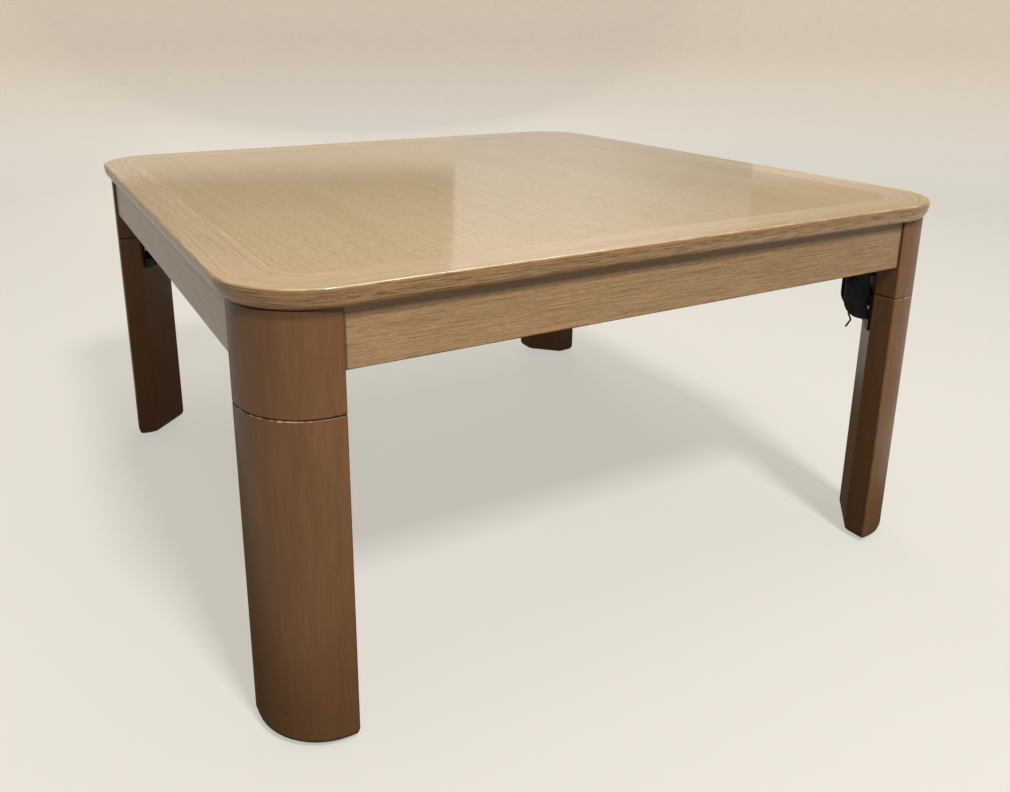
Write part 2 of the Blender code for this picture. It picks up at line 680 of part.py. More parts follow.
def build_table():
    empty_scene()
    group = collection("folding_low_table")
    collection("cutters")
    oak = material("lacquered_oak", (0.52, 0.38, 0.19), 0.25)
    rim = material("oak_rim", (0.60, 0.45, 0.26), 0.28)
    apron = material("oak_apron", (0.33, 0.19, 0.10), 0.40)
    leg = material("stained_hardwood", (0.20, 0.12, 0.07), 0.42)
    inner_wood = material("plain_softwood", (0.58, 0.45, 0.28), 0.60)
    black = material("black_painted_steel", (0.015, 0.015, 0.016), 0.35, 0.5)
    zinc = material("zinc_plated_steel", (0.60, 0.60, 0.58), 0.35, 1.0)
    spring_wire = material("spring_wire", (0.40, 0.40, 0.40), 0.30, 1.0)
    felt = material("felt", (0.08, 0.06, 0.05), 0.90)
    crease = math.radians(35)

    add_piece(group, "top_panel", panel_mesh(), oak)
    add_piece(group, "top_rim", rim_mesh(), rim, smooth_angle=crease)

    side_pieces = {"apron": (apron_mesh(), apron), "cleat": (cleat_mesh(), inner_wood)}
    for turn, side in enumerate(SIDES):
        frame = add_empty(group, f"side_{side}")
        frame.matrix_world = Matrix.Rotation(turn * QUARTER, 4, "Z")
        for name, (mesh, finish) in side_pieces.items():
            add_piece(group, f"{name}_{side}", mesh, finish, frame)

    to_corner = corner_matrix(0).inverted()
    next_side = Matrix.Rotation(-QUARTER, 4, "Z")
    mortises = [moved(tenon_boxes(FIT)[0], to_corner), moved(tenon_boxes(FIT)[1], to_corner @ next_side)]
    base_holes = screw_holes(base_seats())
    leg_holes = screw_holes(leg_seats())
    pivot_hole = cross_hole(PIVOT_DIAMETER, 0, 0)
    catch_hole = cross_hole(CATCH_PIN_DIAMETER, CATCH_PIN_REACH, CATCH_PIN_Z)
    catch_at = Matrix.Translation((CATCH_PIN_REACH, 0, CATCH_PIN_Z))
    pivot_pin = rivet_mesh(PIVOT_DIAMETER, EAR_OUTER, PIVOT_HEAD_DIAMETER, PIVOT_HEAD_HEIGHT)
    catch_pin = rivet_mesh(CATCH_PIN_DIAMETER, EAR_OUTER, CATCH_PIN_HEAD_DIAMETER, CATCH_PIN_HEAD_HEIGHT)
    screw = screw_mesh()
    fixed = {
        "corner_block": (block_mesh(mortises + base_holes), leg),
        "bracket_base": (base_mesh(base_holes + [pivot_hole]), black),
        "pivot_pin": (pivot_pin, black),
    }
    moving = {
        "leg": (leg_mesh(leg_holes), leg),
        "foot_pad": (pad_mesh(), felt),
        "leg_bracket": (leg_bracket_mesh(leg_holes + [pivot_hole, catch_hole]), black),
    }
    on_catch = {
        "catch_pin": (catch_pin, black),
        "wire_catch": (moved(catch_mesh(), catch_at.inverted()), spring_wire),
    }
    for turn, corner in enumerate(CORNERS):
        frame = add_empty(group, f"corner_{corner}")
        frame.matrix_world = corner_matrix(turn)
        hinge = add_empty(group, f"hinge_{corner}", frame)
        catch = add_empty(group, f"catch_{corner}", hinge)
        catch.matrix_local = catch_at
        for parent, pieces in ((frame, fixed), (hinge, moving), (catch, on_catch)):
            for name, (mesh, finish) in pieces.items():
                add_piece(group, f"{name}_{corner}", mesh, finish, parent, crease)
        for name, parent, seats in (("base_screw", frame, base_seats()), ("leg_screw", hinge, leg_seats())):
            for number, seat in enumerate(seats, 1):
                item = add_piece(group, f"{name}_{corner}_{number}", screw, zinc, parent, crease)
                item.location = seat + Vector((FIT, 0, 0))


build_table()
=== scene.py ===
"""Looks of a folding low table: woods, metals, small fittings and a plain studio.

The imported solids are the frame. Pieces whose shape is right are copied with
softened edges. The top, pins, screws and wires are modelled anew. Metres, +Z up.
"""

import json
import math

import bmesh
import bpy
from mathutils import Euler, Matrix, Vector


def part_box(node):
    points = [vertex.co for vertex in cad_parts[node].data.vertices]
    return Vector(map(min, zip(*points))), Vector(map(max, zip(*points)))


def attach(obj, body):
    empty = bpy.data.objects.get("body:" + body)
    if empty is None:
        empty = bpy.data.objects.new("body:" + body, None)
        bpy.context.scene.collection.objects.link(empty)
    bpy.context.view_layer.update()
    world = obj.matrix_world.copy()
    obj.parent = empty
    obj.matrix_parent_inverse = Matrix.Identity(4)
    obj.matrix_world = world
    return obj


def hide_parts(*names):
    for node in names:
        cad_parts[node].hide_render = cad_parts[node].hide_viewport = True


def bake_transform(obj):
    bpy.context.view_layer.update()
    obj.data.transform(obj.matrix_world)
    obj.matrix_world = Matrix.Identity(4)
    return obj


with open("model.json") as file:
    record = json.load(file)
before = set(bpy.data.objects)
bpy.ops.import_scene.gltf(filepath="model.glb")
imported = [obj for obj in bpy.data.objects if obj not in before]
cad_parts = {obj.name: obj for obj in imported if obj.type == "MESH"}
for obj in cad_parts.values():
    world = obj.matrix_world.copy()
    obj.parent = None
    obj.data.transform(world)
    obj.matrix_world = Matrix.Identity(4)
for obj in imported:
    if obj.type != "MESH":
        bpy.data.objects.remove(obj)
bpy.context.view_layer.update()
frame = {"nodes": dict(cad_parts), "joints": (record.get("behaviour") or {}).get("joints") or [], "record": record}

# The photograph's camera, fitted to the table's edges
IMAGE_SIZE = (1010, 792)
FOCAL_PIXELS = 890.05
PRINCIPAL_POINT = (475.60, 281.61)
CAMERA_PLACE = Vector((-0.50332, -0.93096, 0.55488))
CAMERA_YAW = math.radians(61.3274)       # from +X
CAMERA_PITCH = math.radians(-15.8907)
CAMERA_ROLL = math.radians(0.1165)
SENSOR_MM = 36.0
NEAREST = 0.01                           # nearer things aren't shown

# Top
RIM_WIDTH = 0.042
FIELD_RADIUS = 0.034                     # inner corner of the rim
RIM_ARRIS = 0.0015
RIM_UNDERCUT = 0.0065                    # how far the side draws in towards its foot
FIELD_GAP = 0.00003                      # so that field and rim don't share a face
RING_MIDDLE = FIELD_RADIUS + RIM_WIDTH / 2
SIDE_STEPS = 16
CORNER_STEPS = 24
ARRIS_STEPS = 8
EDGE_STEPS = 12
DOWNWARD = -0.5                          # a face with a lower normal Z looks down

# Softened edges
WOOD_EASE = 0.0006
LEG_EASE = 0.0009
STEEL_EASE = 0.0004
FELT_EASE = 0.0007
EASE_STEPS = 3
SHARP = math.radians(40)
FLAT = math.radians(0.4)
WELD = 0.000002

# Fittings
FASTENER_SIDES = 32
DOME_STEPS = 6
DOME_FLATNESS = 0.8                      # below 1, a dome is flatter in the middle
PLATE = 0.002                            # thickness of a bracket base
SCREW_RADIUS = 0.0035                    # of the head
SCREW_HEAD = 0.0022
SCREW_LENGTH = 0.018
SCREW_SHANK = 0.5                        # share of the head's radius
SCREW_EDGE = 0.35                        # share of the head's height
RECESS_WIDTH = 0.0009
RECESS_DEPTH = 0.0013
RECESS_SPAN = 0.0042
RIVET_HEAD = 0.34                        # height, as a share of the head's radius
RIVET_CROWN = 0.75                       # domed share of that height
RIVET_SHANK = 0.58
CLEAT_SCREWS = 3
FLANGE_SCREW_REACH = 0.013               # inward of the pivot
WIRE_RADIUS = 0.001
WIRE_ROUNDNESS = 3
WIRE_SIDE = 0.013                        # arms of a wire catch, from the middle of its bracket
WIRE_TURNS = 3
WIRE_PITCH = 0.0025
WIRE_TAIL = math.radians(37)
COIL_RADIUS = 0.0038
BAR_REACH = 0.0108                       # crossbar, inward of the pivot
BAR_BEND = 0.002
FILLET_STEPS = 6
CURL_STEPS = 32                          # in one turn of a coil
TAIL_REST = -0.0084                      # where the tail leans on the flange, inward of the pivot
# Bends of the finger end, as reach and drop from the coil
FINGER_POINTS = ((-0.0016, 0.053), (-0.006, 0.0445), (-0.003, 0.038), (0, 0))

# Marks of use seen in the photograph: middle, half sizes and turn round X
RIM_SPECKS = (((-0.3143, -0.374, 0.3769), (0.0011, 0.003, 0.0008), 0),
              ((-0.3056, -0.374, 0.3763), (0.0016, 0.003, 0.0007), 0),
              ((-0.2982, -0.374, 0.3767), (0.0009, 0.003, 0.0009), 0),
              ((0.1403, -0.374, 0.3814), (0.0016, 0.003, 0.0009), 0),
              ((-0.3463, 0.3176, 0.385), (0.0022, 0.0050, 0.003), 0))
APRON_SCRATCH = (((-0.3645, -0.161, 0.3565), (0.003, 0.028, 0.0006), math.radians(-3.3)),)
BLOCK_CHIPS = (((-0.3090, -0.367, 0.2866), (0.0030, 0.003, 0.0011), 0),
               ((-0.3025, -0.367, 0.2870), (0.0018, 0.003, 0.0016), 0),
               ((-0.3538, -0.3452, 0.0316), (0.0016, 0.0016, 0.0012), 0))
LEG_CHIPS = (((-0.3465, -0.3527, 0.2848), (0.0026, 0.0026, 0.0013), 0),
             ((-0.3510, -0.3490, 0.2850), (0.0014, 0.0014, 0.0009), 0))

# Tints by place: where each begins and where it is full
RIM_PAINTED_BOUNCE = (0.006, 0.003)                # painted bounce light, paler towards the side's foot: down from the rim's top, and up from its foot
APRON_JOINT = (0.0026, 0.0012)           # inward of an apron's ends
APRON_PAINTED_SHADOW = (0.0115, 0.009)          # painted shadow of the rim, down from an apron's top
BLOCK_PAINTED_SHADOW = (0.009, 0.004)           # painted shadow of the rim, down from a corner block's top
FOOT_SHADE = (0.16, 0.0)                 # up from the floor
SEAM_WEAR = (0.004, 0.001)               # up and down from a leg's top
SEAM_DIRT_FOOT = (0.0003, 0.0005)        # up from a leg's top
SEAM_DIRT_HEAD = (0.0022, 0.0012)        # the same, from the dirt's upper end

# Studio
ROOM_RADIUS = 3.0
ROOM_SWEEP = 0.5
SHADE_RADIUS = 0.6                       # floor that the table doesn't mirror
ROOM_HEIGHT = 2.4
ROOM_SIDES = 96
DADO_HEIGHT = 0.82                       # the wall is dark above
DADO_BLUR = 0.02
SWEEP_STEPS = 12
WINDOW_PLACE = (1.52, 1.80, 0.95)
WINDOW_TARGET = (0, 0, 0.6)
WINDOW_SIZE = (1.13, 0.9)
WINDOW_GLOW = 0.50
WINDOW_DIM = 0.48                        # share of the glow at the dim end
WINDOW_FADE = 0.125                      # the glow is full from here, as a share of the width

CORNERS = ("front_left", "front_right", "back_right", "back_left")
SIDES = ("front", "right", "back", "left")
QUARTER = math.pi / 2
UP = Vector((0, 0, 1))
BLACK = (0, 0, 0, 1)
WHITE = (1, 1, 1, 1)

# Sockets of a Mix node that mixes colours
MIX_FACTOR, MIX_FIRST, MIX_SECOND = 0, 6, 7
MIX_RESULT = 2

# Solids at each corner that keep their shape: name, finish and softening
CORNER_PIECES = (("corner_block_", "leg_wood", WOOD_EASE), ("leg_", "leg_wood", LEG_EASE),
                 ("foot_pad_", "felt", FELT_EASE), ("bracket_base_", "black_steel", STEEL_EASE),
                 ("leg_bracket_", "black_steel", STEEL_EASE))

joint_of = {joint["name"]: joint for joint in frame["joints"]}
body_of = {node: body for body, nodes in frame["record"]["behaviour"]["bodies"].items()
           for node in nodes}


# Materials

def srgb(red, green, blue):
    """A colour given in 8-bit steps, as the linear colour that shaders take."""
    channels = [value / 255 for value in (red, green, blue)]
    return (*(((c + 0.055) / 1.055) ** 2.4 if c > 0.04045 else c / 12.92 for c in channels), 1.0)


FLOOR_COLOUR = srgb(140, 138, 132)
GLOW_COLOUR = srgb(236, 232, 222)
GLOW_STRENGTH = 0.60
WALL_GLOW = 0.17
FLECK_COLOUR = srgb(150, 138, 118)
WALL_COLOUR = srgb(234, 222, 204)
UPPER_WALL_COLOUR = srgb(96, 88, 76)
WORLD_COLOUR = srgb(232, 208, 178)
WORLD_STRENGTH = 0.18
WINDOW_COLOUR = srgb(253, 248, 242)


class Finish:
    """A material, with short calls that add nodes and return their main output."""

    def __init__(self, name, **values):
        self.material = bpy.data.materials.new(name)
        self.material.use_nodes = True
        self.tree = self.material.node_tree
        self.shader = self.tree.nodes["Principled BSDF"]
        self.set(**values)
        self.place = self.add("TexCoord").outputs["Object"]

    def set(self, **values):
        """Shader inputs, with their names in lower case and joined by underscores."""
        for name, value in values.items():
            label = name.replace("_", " ").title().replace("Ior", "IOR")
            self.feed(self.shader.inputs[label], value)

    def feed(self, socket, value):
        if isinstance(value, bpy.types.NodeSocket):
            self.tree.links.new(value, socket)
        else:
            socket.default_value = value

    def add(self, kind, inputs=(), **settings):
        node = self.tree.nodes.new("ShaderNode" + kind)
        for name, value in settings.items():
            setattr(node, name, value)
        for socket, value in dict(inputs).items():
            self.feed(node.inputs[socket], value)
        return node

    def attribute(self, name):
        return self.add("Attribute", attribute_name=name).outputs["Fac"]

    def noise(self, place, scale, detail=3.0, roughness=0.6, distortion=0.0):
        """Noise with its own scale along each axis."""
        stretched = self.add("Mapping", {"Vector": place, "Scale": scale}).outputs[0]
        node = self.add("TexNoise", {"Vector": stretched, "Scale": 1.0, "Detail": detail,
                                     "Roughness": roughness, "Distortion": distortion})
        return node.outputs["Fac"]

    def span(self, value, low, high, to_low=0.0, to_high=1.0):
        """A value's range from low to high, eased into another range."""
        node = self.add("MapRange", {"Value": value, "From Min": low, "From Max": high,
                                     "To Min": to_low, "To Max": to_high},
                        interpolation_type="SMOOTHSTEP")
        return node.outputs[0]

    def maths(self, operation, first, second=0.0):
        node = self.add("Math", {0: first, 1: second}, operation=operation)
        return node.outputs[0]

    def mixed(self, factor, first, second, blend="MIX"):
        node = self.add("Mix", {MIX_FACTOR: factor, MIX_FIRST: first, MIX_SECOND: second},
                        data_type="RGBA", blend_type=blend)
        return node.outputs[MIX_RESULT]

    def spotted(self, colour, spots, paint):
        """A colour with painted spots, each an ellipsoid of the piece with a soft skin."""
        for middle, size, turn in spots:
            inside = self.add("Mapping", {"Vector": self.place, "Location": middle, "Scale": size,
                                          "Rotation": (turn, 0, 0)}, vector_type="TEXTURE")
            away = self.add("VectorMath", {0: inside.outputs[0]}, operation="LENGTH")
            shown = self.span(away.outputs["Value"], 1.0, 0.5, 0.0, 0.85)
            colour = self.mixed(shown, colour, paint)
        return colour

    def bump(self, height, strength, distance):
        node = self.add("Bump", {"Height": height, "Strength": strength, "Distance": distance})
        return node.outputs[0]


def along(axis, grain, across):
    """Noise scales, per metre, for grain that runs along an axis."""
    return tuple(grain if name == axis else across for name in "XYZ")


def oak(name, axis, colours, lines, strokes, place="Object", drift=0.6, **values):
    """Straight-grain oak: broad bands, growth lines, short strokes and pores.

    colours are light, dark and pore. lines and strokes are counts per metre along and
    across the grain, and strokes end with their contrast. drift is the count of the bands
    along the grain, and its sign turns them round.
    """
    light, dark, pore = colours
    wood = Finish(name, **values)
    place = wood.add("TexCoord").outputs[place]
    bands = wood.noise(place, along(axis, drift, 9), 2)
    growth = wood.noise(place, along(axis, *lines), 5, 0.62, 0.25)
    dabs = wood.noise(place, along(axis, *strokes[:2]), 2)
    pores = wood.noise(place, along(axis, 55, 900), 2, 0.5)
    tone = wood.maths("ADD", wood.maths("MULTIPLY", bands, 0.35),
                      wood.maths("MULTIPLY", growth, 0.65))
    colour = wood.mixed(wood.span(tone, 0.33, 0.67), dark, light)
    colour = wood.mixed(wood.span(dabs, 0.62, 0.36, 0.0, strokes[2]), colour, pore)
    dashes = wood.maths("MULTIPLY", wood.span(pores, 0.60, 0.72),
                        wood.span(growth, 0.62, 0.40, 0.25, 1.0))
    colour = wood.mixed(wood.maths("MULTIPLY", dashes, 0.5), colour, pore)
    relief = wood.maths("SUBTRACT", wood.maths("MULTIPLY", dabs, 0.4), dashes)
    return wood, colour, relief


def top_oak():
    wood, colour, relief = oak(
        "top_oak", "Y", (srgb(211, 191, 150), srgb(198, 174, 132), srgb(142, 113, 72)),
        (3, 420), (80, 1200, 0.3), coat_weight=0.9, coat_roughness=0.1)
    smears = wood.noise(wood.place, (7, 5, 7), 4)
    wood.set(base_color=colour, roughness=wood.span(smears, 0.3, 0.7, 0.36, 0.46),
             normal=wood.bump(relief, 0.12, 0.0002),
             coat_normal=wood.bump(wood.noise(wood.place, (60, 30, 60), 2), 0.05, 0.0004))
    return wood.material


def rim_oak():
    """Bent oak, pale on top and stained browner round its side, with rubbed arrises and painted bounce light that
    pales the side towards its foot.
    """
    wood, colour, relief = oak(
        "rim_oak", "X", (srgb(232, 211, 174), srgb(184, 158, 120), srgb(140, 108, 70)),
        (5, 800), (40, 1100, 0.3), "UV", coat_roughness=0.08)
    clouds = wood.noise(wood.place, (18, 18, 18), 3)
    stain = wood.mixed(clouds, srgb(184, 160, 127), srgb(212, 190, 156))
    low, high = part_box("top_rim")
    height = wood.add("SeparateXYZ", {0: wood.place}).outputs["Z"]
    # Painted bounce light: the side's stain grows paler towards the rim's foot.
    painted_bounce = wood.span(height, high.z - RIM_PAINTED_BOUNCE[0], low.z + RIM_PAINTED_BOUNCE[1])
    stain = wood.mixed(painted_bounce, stain, srgb(250, 238, 220))
    edge = wood.attribute("edge")
    side = wood.maths("MAXIMUM", wood.attribute("side"), wood.maths("MULTIPLY", edge, 0.6))
    streaks = wood.noise(wood.add("TexCoord").outputs["UV"], along("X", 45, 900), 3, 0.6, 0.4)
    stain = wood.mixed(wood.span(streaks, 0.46, 0.64, 0.0, 0.75), stain, srgb(112, 82, 54))
    colour = wood.mixed(side, colour, wood.mixed(1.0, colour, stain, "MULTIPLY"))
    rubs = wood.span(wood.noise(wood.place, (45, 45, 45), 4), 0.5, 0.62)
    worn = wood.maths("MULTIPLY", edge, rubs)
    colour = wood.mixed(wood.maths("MULTIPLY", worn, 0.3), colour, srgb(216, 190, 148))
    colour = wood.spotted(colour, RIM_SPECKS, srgb(74, 52, 34))
    wood.set(base_color=colour, roughness=wood.span(worn, 0.0, 1.0, 0.36, 0.55),
             coat_weight=wood.span(side, 0.0, 1.0, 0.8, 0.15),
             normal=wood.bump(relief, 0.14, 0.0002))
    return wood.material


def apron_oak(axis):
    wood, colour, relief = oak(
        "apron_oak_" + axis.lower(), axis,
        (srgb(180, 147, 102), srgb(116, 87, 54), srgb(84, 58, 33)), (14, 1100), (120, 1600, 0.35),
        drift=-1.5, coat_weight=0.3, coat_roughness=0.22)
    rubs = wood.span(wood.noise(wood.place, (40, 40, 40), 4), 0.42, 0.56)
    worn = wood.maths("MULTIPLY", wood.attribute("edge"), rubs)
    colour = wood.mixed(wood.maths("MULTIPLY", worn, 0.6), colour, srgb(204, 174, 134))
    colour = wood.spotted(colour, APRON_SCRATCH, srgb(52, 38, 28))
    ways = wood.add("SeparateXYZ", {0: wood.place}).outputs
    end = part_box("corner_block_front_right")[0].x
    from_middle = wood.maths("ABSOLUTE", ways[axis])
    joints = wood.span(from_middle, end - APRON_JOINT[0], end - APRON_JOINT[1], 0.0, 0.85)
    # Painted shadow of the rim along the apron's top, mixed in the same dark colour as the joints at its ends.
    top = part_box("apron_front")[1].z
    painted_shadow = wood.span(ways["Z"], top - APRON_PAINTED_SHADOW[0], top - APRON_PAINTED_SHADOW[1], 0.0, 0.5)
    colour = wood.mixed(wood.maths("MAXIMUM", joints, painted_shadow), colour, srgb(58, 38, 20))
    wood.set(base_color=colour, roughness=0.42, normal=wood.bump(relief, 0.25, 0.0003))
    return wood.material


def leg_wood():
    """Stained hardwood with faint upright grain, painted shade at the foot, a painted shadow of the rim on the
    block's top, and pale wear along the seam.
    """
    wood = Finish("leg_wood", coat_weight=0.1, coat_roughness=0.25, specular_ior_level=0.35)
    grain = wood.noise(wood.place, along("Z", 30, 700), 4, 0.6, 0.3)
    pores = wood.noise(wood.place, along("Z", 90, 1100), 2, 0.5)
    clouds = wood.noise(wood.place, (16, 16, 9), 4)
    height = wood.add("SeparateXYZ", {0: wood.place}).outputs["Z"]
    colour = wood.mixed(wood.span(grain, 0.25, 0.75), srgb(111, 78, 46), srgb(122, 88, 53))
    streaks = wood.noise(wood.place, along("Z", 14, 130), 3, 0.6, 0.5)
    colour = wood.mixed(wood.span(streaks, 0.36, 0.66, 0.0, 0.45), colour, srgb(100, 68, 40))
    colour = wood.mixed(wood.span(clouds, 0.35, 0.7, 0.0, 0.4), colour, srgb(101, 69, 40))
    colour = wood.mixed(wood.span(height, *FOOT_SHADE, 0.0, 0.5), colour, srgb(88, 64, 45))
    dashes = wood.span(pores, 0.60, 0.74)
    colour = wood.mixed(wood.maths("MULTIPLY", dashes, 0.25), colour, srgb(66, 43, 27))
    rubs = wood.span(wood.noise(wood.place, (70, 70, 70), 4), 0.44, 0.60)
    above_leg = wood.maths("SUBTRACT", height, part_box("leg_front_left")[1].z)
    from_seam = wood.maths("ABSOLUTE", above_leg)
    near_seam = wood.span(from_seam, *SEAM_WEAR, 0.06, 0.95)
    worn = wood.maths("MULTIPLY", wood.attribute("edge"), near_seam)
    colour = wood.mixed(wood.maths("MULTIPLY", worn, rubs), colour, srgb(186, 152, 118))
    dirt = wood.maths("MULTIPLY", wood.span(above_leg, *SEAM_DIRT_FOOT),
                      wood.span(above_leg, *SEAM_DIRT_HEAD, 0.0, 0.85))
    colour = wood.mixed(dirt, colour, srgb(40, 27, 18))
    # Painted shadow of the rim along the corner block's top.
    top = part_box("corner_block_front_left")[1].z
    painted_shadow = wood.span(height, top - BLOCK_PAINTED_SHADOW[0], top - BLOCK_PAINTED_SHADOW[1], 0.0, 0.5)
    colour = wood.mixed(painted_shadow, colour, srgb(44, 29, 19))
    colour = wood.spotted(colour, LEG_CHIPS, srgb(190, 160, 126))
    colour = wood.spotted(colour, BLOCK_CHIPS, srgb(40, 27, 18))
    wood.set(base_color=colour, roughness=wood.span(clouds, 0.3, 0.7, 0.44, 0.54),
             normal=wood.bump(wood.maths("SUBTRACT", grain, dashes), 0.12, 0.0002))
    return wood.material


def inner_wood(axis):
    wood, colour, relief = oak(
        "inner_wood_" + axis.lower(), axis,
        (srgb(206, 178, 132), srgb(186, 152, 104), srgb(140, 104, 64)),
        (3.5, 210), (40, 500, 0.35))
    wood.set(base_color=colour, roughness=0.7, normal=wood.bump(relief, 0.3, 0.0003))
    return wood.material


def black_steel():
    """Black enamel, rubbed to grey along its edges."""
    paint = Finish("black_steel", specular_ior_level=0.2)
    dust = paint.noise(paint.place, (90, 90, 90), 5)
    rubs = paint.span(paint.noise(paint.place, (300, 300, 300), 3), 0.52, 0.64)
    worn = paint.maths("MULTIPLY", paint.attribute("edge"), rubs)
    colour = paint.mixed(paint.span(dust, 0.45, 0.75, 0.0, 0.5), srgb(7, 7, 8), srgb(22, 21, 20))
    colour = paint.mixed(paint.maths("MULTIPLY", worn, 0.6), colour, srgb(72, 70, 67))
    paint.set(base_color=colour, roughness=paint.span(dust, 0.3, 0.7, 0.4, 0.6),
              normal=paint.bump(paint.noise(paint.place, (900, 900, 900), 2), 0.08, 0.0002))
    return paint.material


def bare_steel(name, bright, dull, rough):
    steel = Finish(name, metallic=1.0)
    clouds = steel.noise(steel.place, (400, 400, 400), 4)
    steel.set(base_color=steel.mixed(steel.span(clouds, 0.35, 0.7), bright, dull),
              roughness=steel.span(clouds, 0.3, 0.7, rough, rough + 0.18),
              normal=steel.bump(steel.noise(steel.place, (1500, 1500, 1500), 2), 0.1, 0.0001))
    return steel.material


def felt():
    cloth = Finish("felt", roughness=0.95, sheen_weight=0.4)
    fibres = cloth.noise(cloth.place, (1400, 1400, 1400), 5, 0.7, 1.0)
    cloth.set(base_color=cloth.mixed(fibres, srgb(52, 40, 32), srgb(96, 78, 62)),
              normal=cloth.bump(fibres, 0.6, 0.0006))
    return cloth.material


def backing():
    """Plain brown sheet on the underside of the field."""
    sheet = Finish("backing")
    flecks = sheet.noise(sheet.place, (260, 260, 260), 4, 0.7)
    clouds = sheet.noise(sheet.place, (6, 6, 6), 3)
    colour = sheet.mixed(sheet.span(flecks, 0.3, 0.7), srgb(150, 118, 80), srgb(176, 144, 102))
    colour = sheet.mixed(sheet.span(clouds, 0.35, 0.7, 0.0, 0.3), colour, srgb(136, 104, 70))
    sheet.set(base_color=colour, roughness=0.75, normal=sheet.bump(flecks, 0.2, 0.0002))
    return sheet.material


# Shapes

def mesh_of(shape, name):
    """A mesh made of an edited shape, which is then freed."""
    bmesh.ops.recalc_face_normals(shape, faces=shape.faces)
    mesh = bpy.data.meshes.new(name)
    shape.to_mesh(mesh)
    shape.free()
    return mesh


def smooth(mesh):
    mesh.shade_smooth()
    mesh.set_sharp_from_angle(angle=SHARP)


def keep_flat(piece):
    """Shading that stays flat on broad faces beside rounded edges."""
    normals = piece.modifiers.new("Flat faces stay flat", "WEIGHTED_NORMAL")
    normals.keep_sharp = True


def evaluated_mesh(item):
    """The mesh of a helper object with its modifiers or its bevel applied."""
    final = item.evaluated_get(bpy.context.evaluated_depsgraph_get())
    return bpy.data.meshes.new_from_object(final)


def new_piece(name, mesh, finishes, body=None, replaced=(), place=None):
    """A piece of the look, with the body that it rides on and the solids that it replaces."""
    piece = bpy.data.objects.new(name, mesh)
    bpy.context.scene.collection.objects.link(piece)
    if not mesh.materials:               # a mesh that pieces share is painted once
        for finish in finishes:
            mesh.materials.append(finish)
    if place is not None:
        piece.matrix_world = place
    if body is not None:
        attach(piece, body)
    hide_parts(*replaced)
    return piece


def softened(node, finish, ease):
    """A copy of a solid with its sharp edges rounded, and those edges marked for wear."""
    shape = bmesh.new()
    shape.from_mesh(frame["nodes"][node].data)
    bmesh.ops.remove_doubles(shape, verts=shape.verts, dist=WELD)
    bmesh.ops.dissolve_limit(shape, angle_limit=FLAT, verts=shape.verts, edges=shape.edges)
    sharp = [edge for edge in shape.edges if edge.calc_face_angle(0) > SHARP]
    rounding = bmesh.ops.bevel(shape, geom=sharp, offset=ease, offset_type="OFFSET",
                               segments=EASE_STEPS, profile=0.5, affect="EDGES", clamp_overlap=True)
    rounded = set(rounding["faces"])
    marks = shape.loops.layers.float_color.new("edge")
    for face in shape.faces:
        for corner in face.loops:
            corner[marks] = WHITE if face in rounded else BLACK
    mesh = mesh_of(shape, node)
    smooth(mesh)
    keep_flat(new_piece("look_" + node, mesh, [finish], body_of[node], [node]))


def prism(outline, low, high):
    """A solid of one outline, counterclockwise, between two heights."""
    shape = bmesh.new()
    lower = [shape.verts.new((x, y, low)) for x, y in outline]
    upper = [shape.verts.new((x, y, high)) for x, y in outline]
    shape.faces.new(reversed(lower))
    shape.faces.new(upper)
    for index in range(len(outline)):
        shape.faces.new((lower[index - 1], lower[index], upper[index], upper[index - 1]))
    return mesh_of(shape, "prism")


def circle(shape, radius, height, sides):
    """New points of a shape on a level circle round Z."""
    turns = [math.tau * step / sides for step in range(sides)]
    return [shape.verts.new((radius * math.cos(turn), radius * math.sin(turn), height))
            for turn in turns]


def lathe(profile):
    """A solid turned round Z, from (radius, height) points that start and end on the axis."""
    shape = bmesh.new()
    first = shape.verts.new((0, 0, profile[0][1]))
    last = shape.verts.new((0, 0, profile[-1][1]))
    rings = [circle(shape, radius, height, FASTENER_SIDES) for radius, height in profile[1:-1]]
    for index in range(FASTENER_SIDES):
        shape.faces.new((first, rings[0][index - 1], rings[0][index]))
        shape.faces.new((last, rings[-1][index], rings[-1][index - 1]))
        for upper, lower in zip(rings, rings[1:]):
            shape.faces.new((upper[index - 1], lower[index - 1], lower[index], upper[index]))
    mesh = mesh_of(shape, "turned")
    smooth(mesh)
    return mesh


def dome(radius, low, high):
    """Profile of a rounded head, from its crown to its edge."""
    points = [(0, high)]
    for step in range(1, DOME_STEPS + 1):
        turn = QUARTER * step / DOME_STEPS
        points.append((radius * math.sin(turn) ** DOME_FLATNESS,
                       low + (high - low) * math.cos(turn)))
    return points


def rivet_mesh(radius, half_length):
    """A pin along Y with a domed head at each end."""
    head = radius * RIVET_HEAD
    half = dome(radius, half_length - head * RIVET_CROWN, half_length)
    half += [(radius, half_length - head), (radius * RIVET_SHANK, half_length - head)]
    mesh = lathe(half + [(size, -height) for size, height in reversed(half)])
    mesh.transform(Matrix.Rotation(QUARTER, 4, "X"))
    return mesh


def screw_mesh(radius, head, length):
    """A pan-head screw down from the origin, with a cross cut in its head."""
    profile = dome(radius, head * SCREW_EDGE, head)
    shank = radius * SCREW_SHANK
    profile += [(radius, 0), (shank, 0), (shank, radius - length), (0, -length)]
    half = RECESS_WIDTH / 2
    arm = RECESS_SPAN / 2
    quarter = [(arm, -half), (arm, half), (half, half)]
    cross = []
    for turn in range(4):
        cross += [Matrix.Rotation(turn * QUARTER, 2) @ Vector(point) for point in quarter]
    screw = bpy.data.objects.new("screw", lathe(profile))
    cutter = bpy.data.objects.new("recess", prism(cross, head - RECESS_DEPTH, head + RECESS_DEPTH))
    for item in (screw, cutter):
        bpy.context.scene.collection.objects.link(item)
    cut = screw.modifiers.new("Recess", "BOOLEAN")
    cut.operation = "DIFFERENCE"
    cut.object = cutter
    mesh = evaluated_mesh(screw)
    for item in (screw, cutter):
        bpy.data.objects.remove(item)
    smooth(mesh)
    return mesh


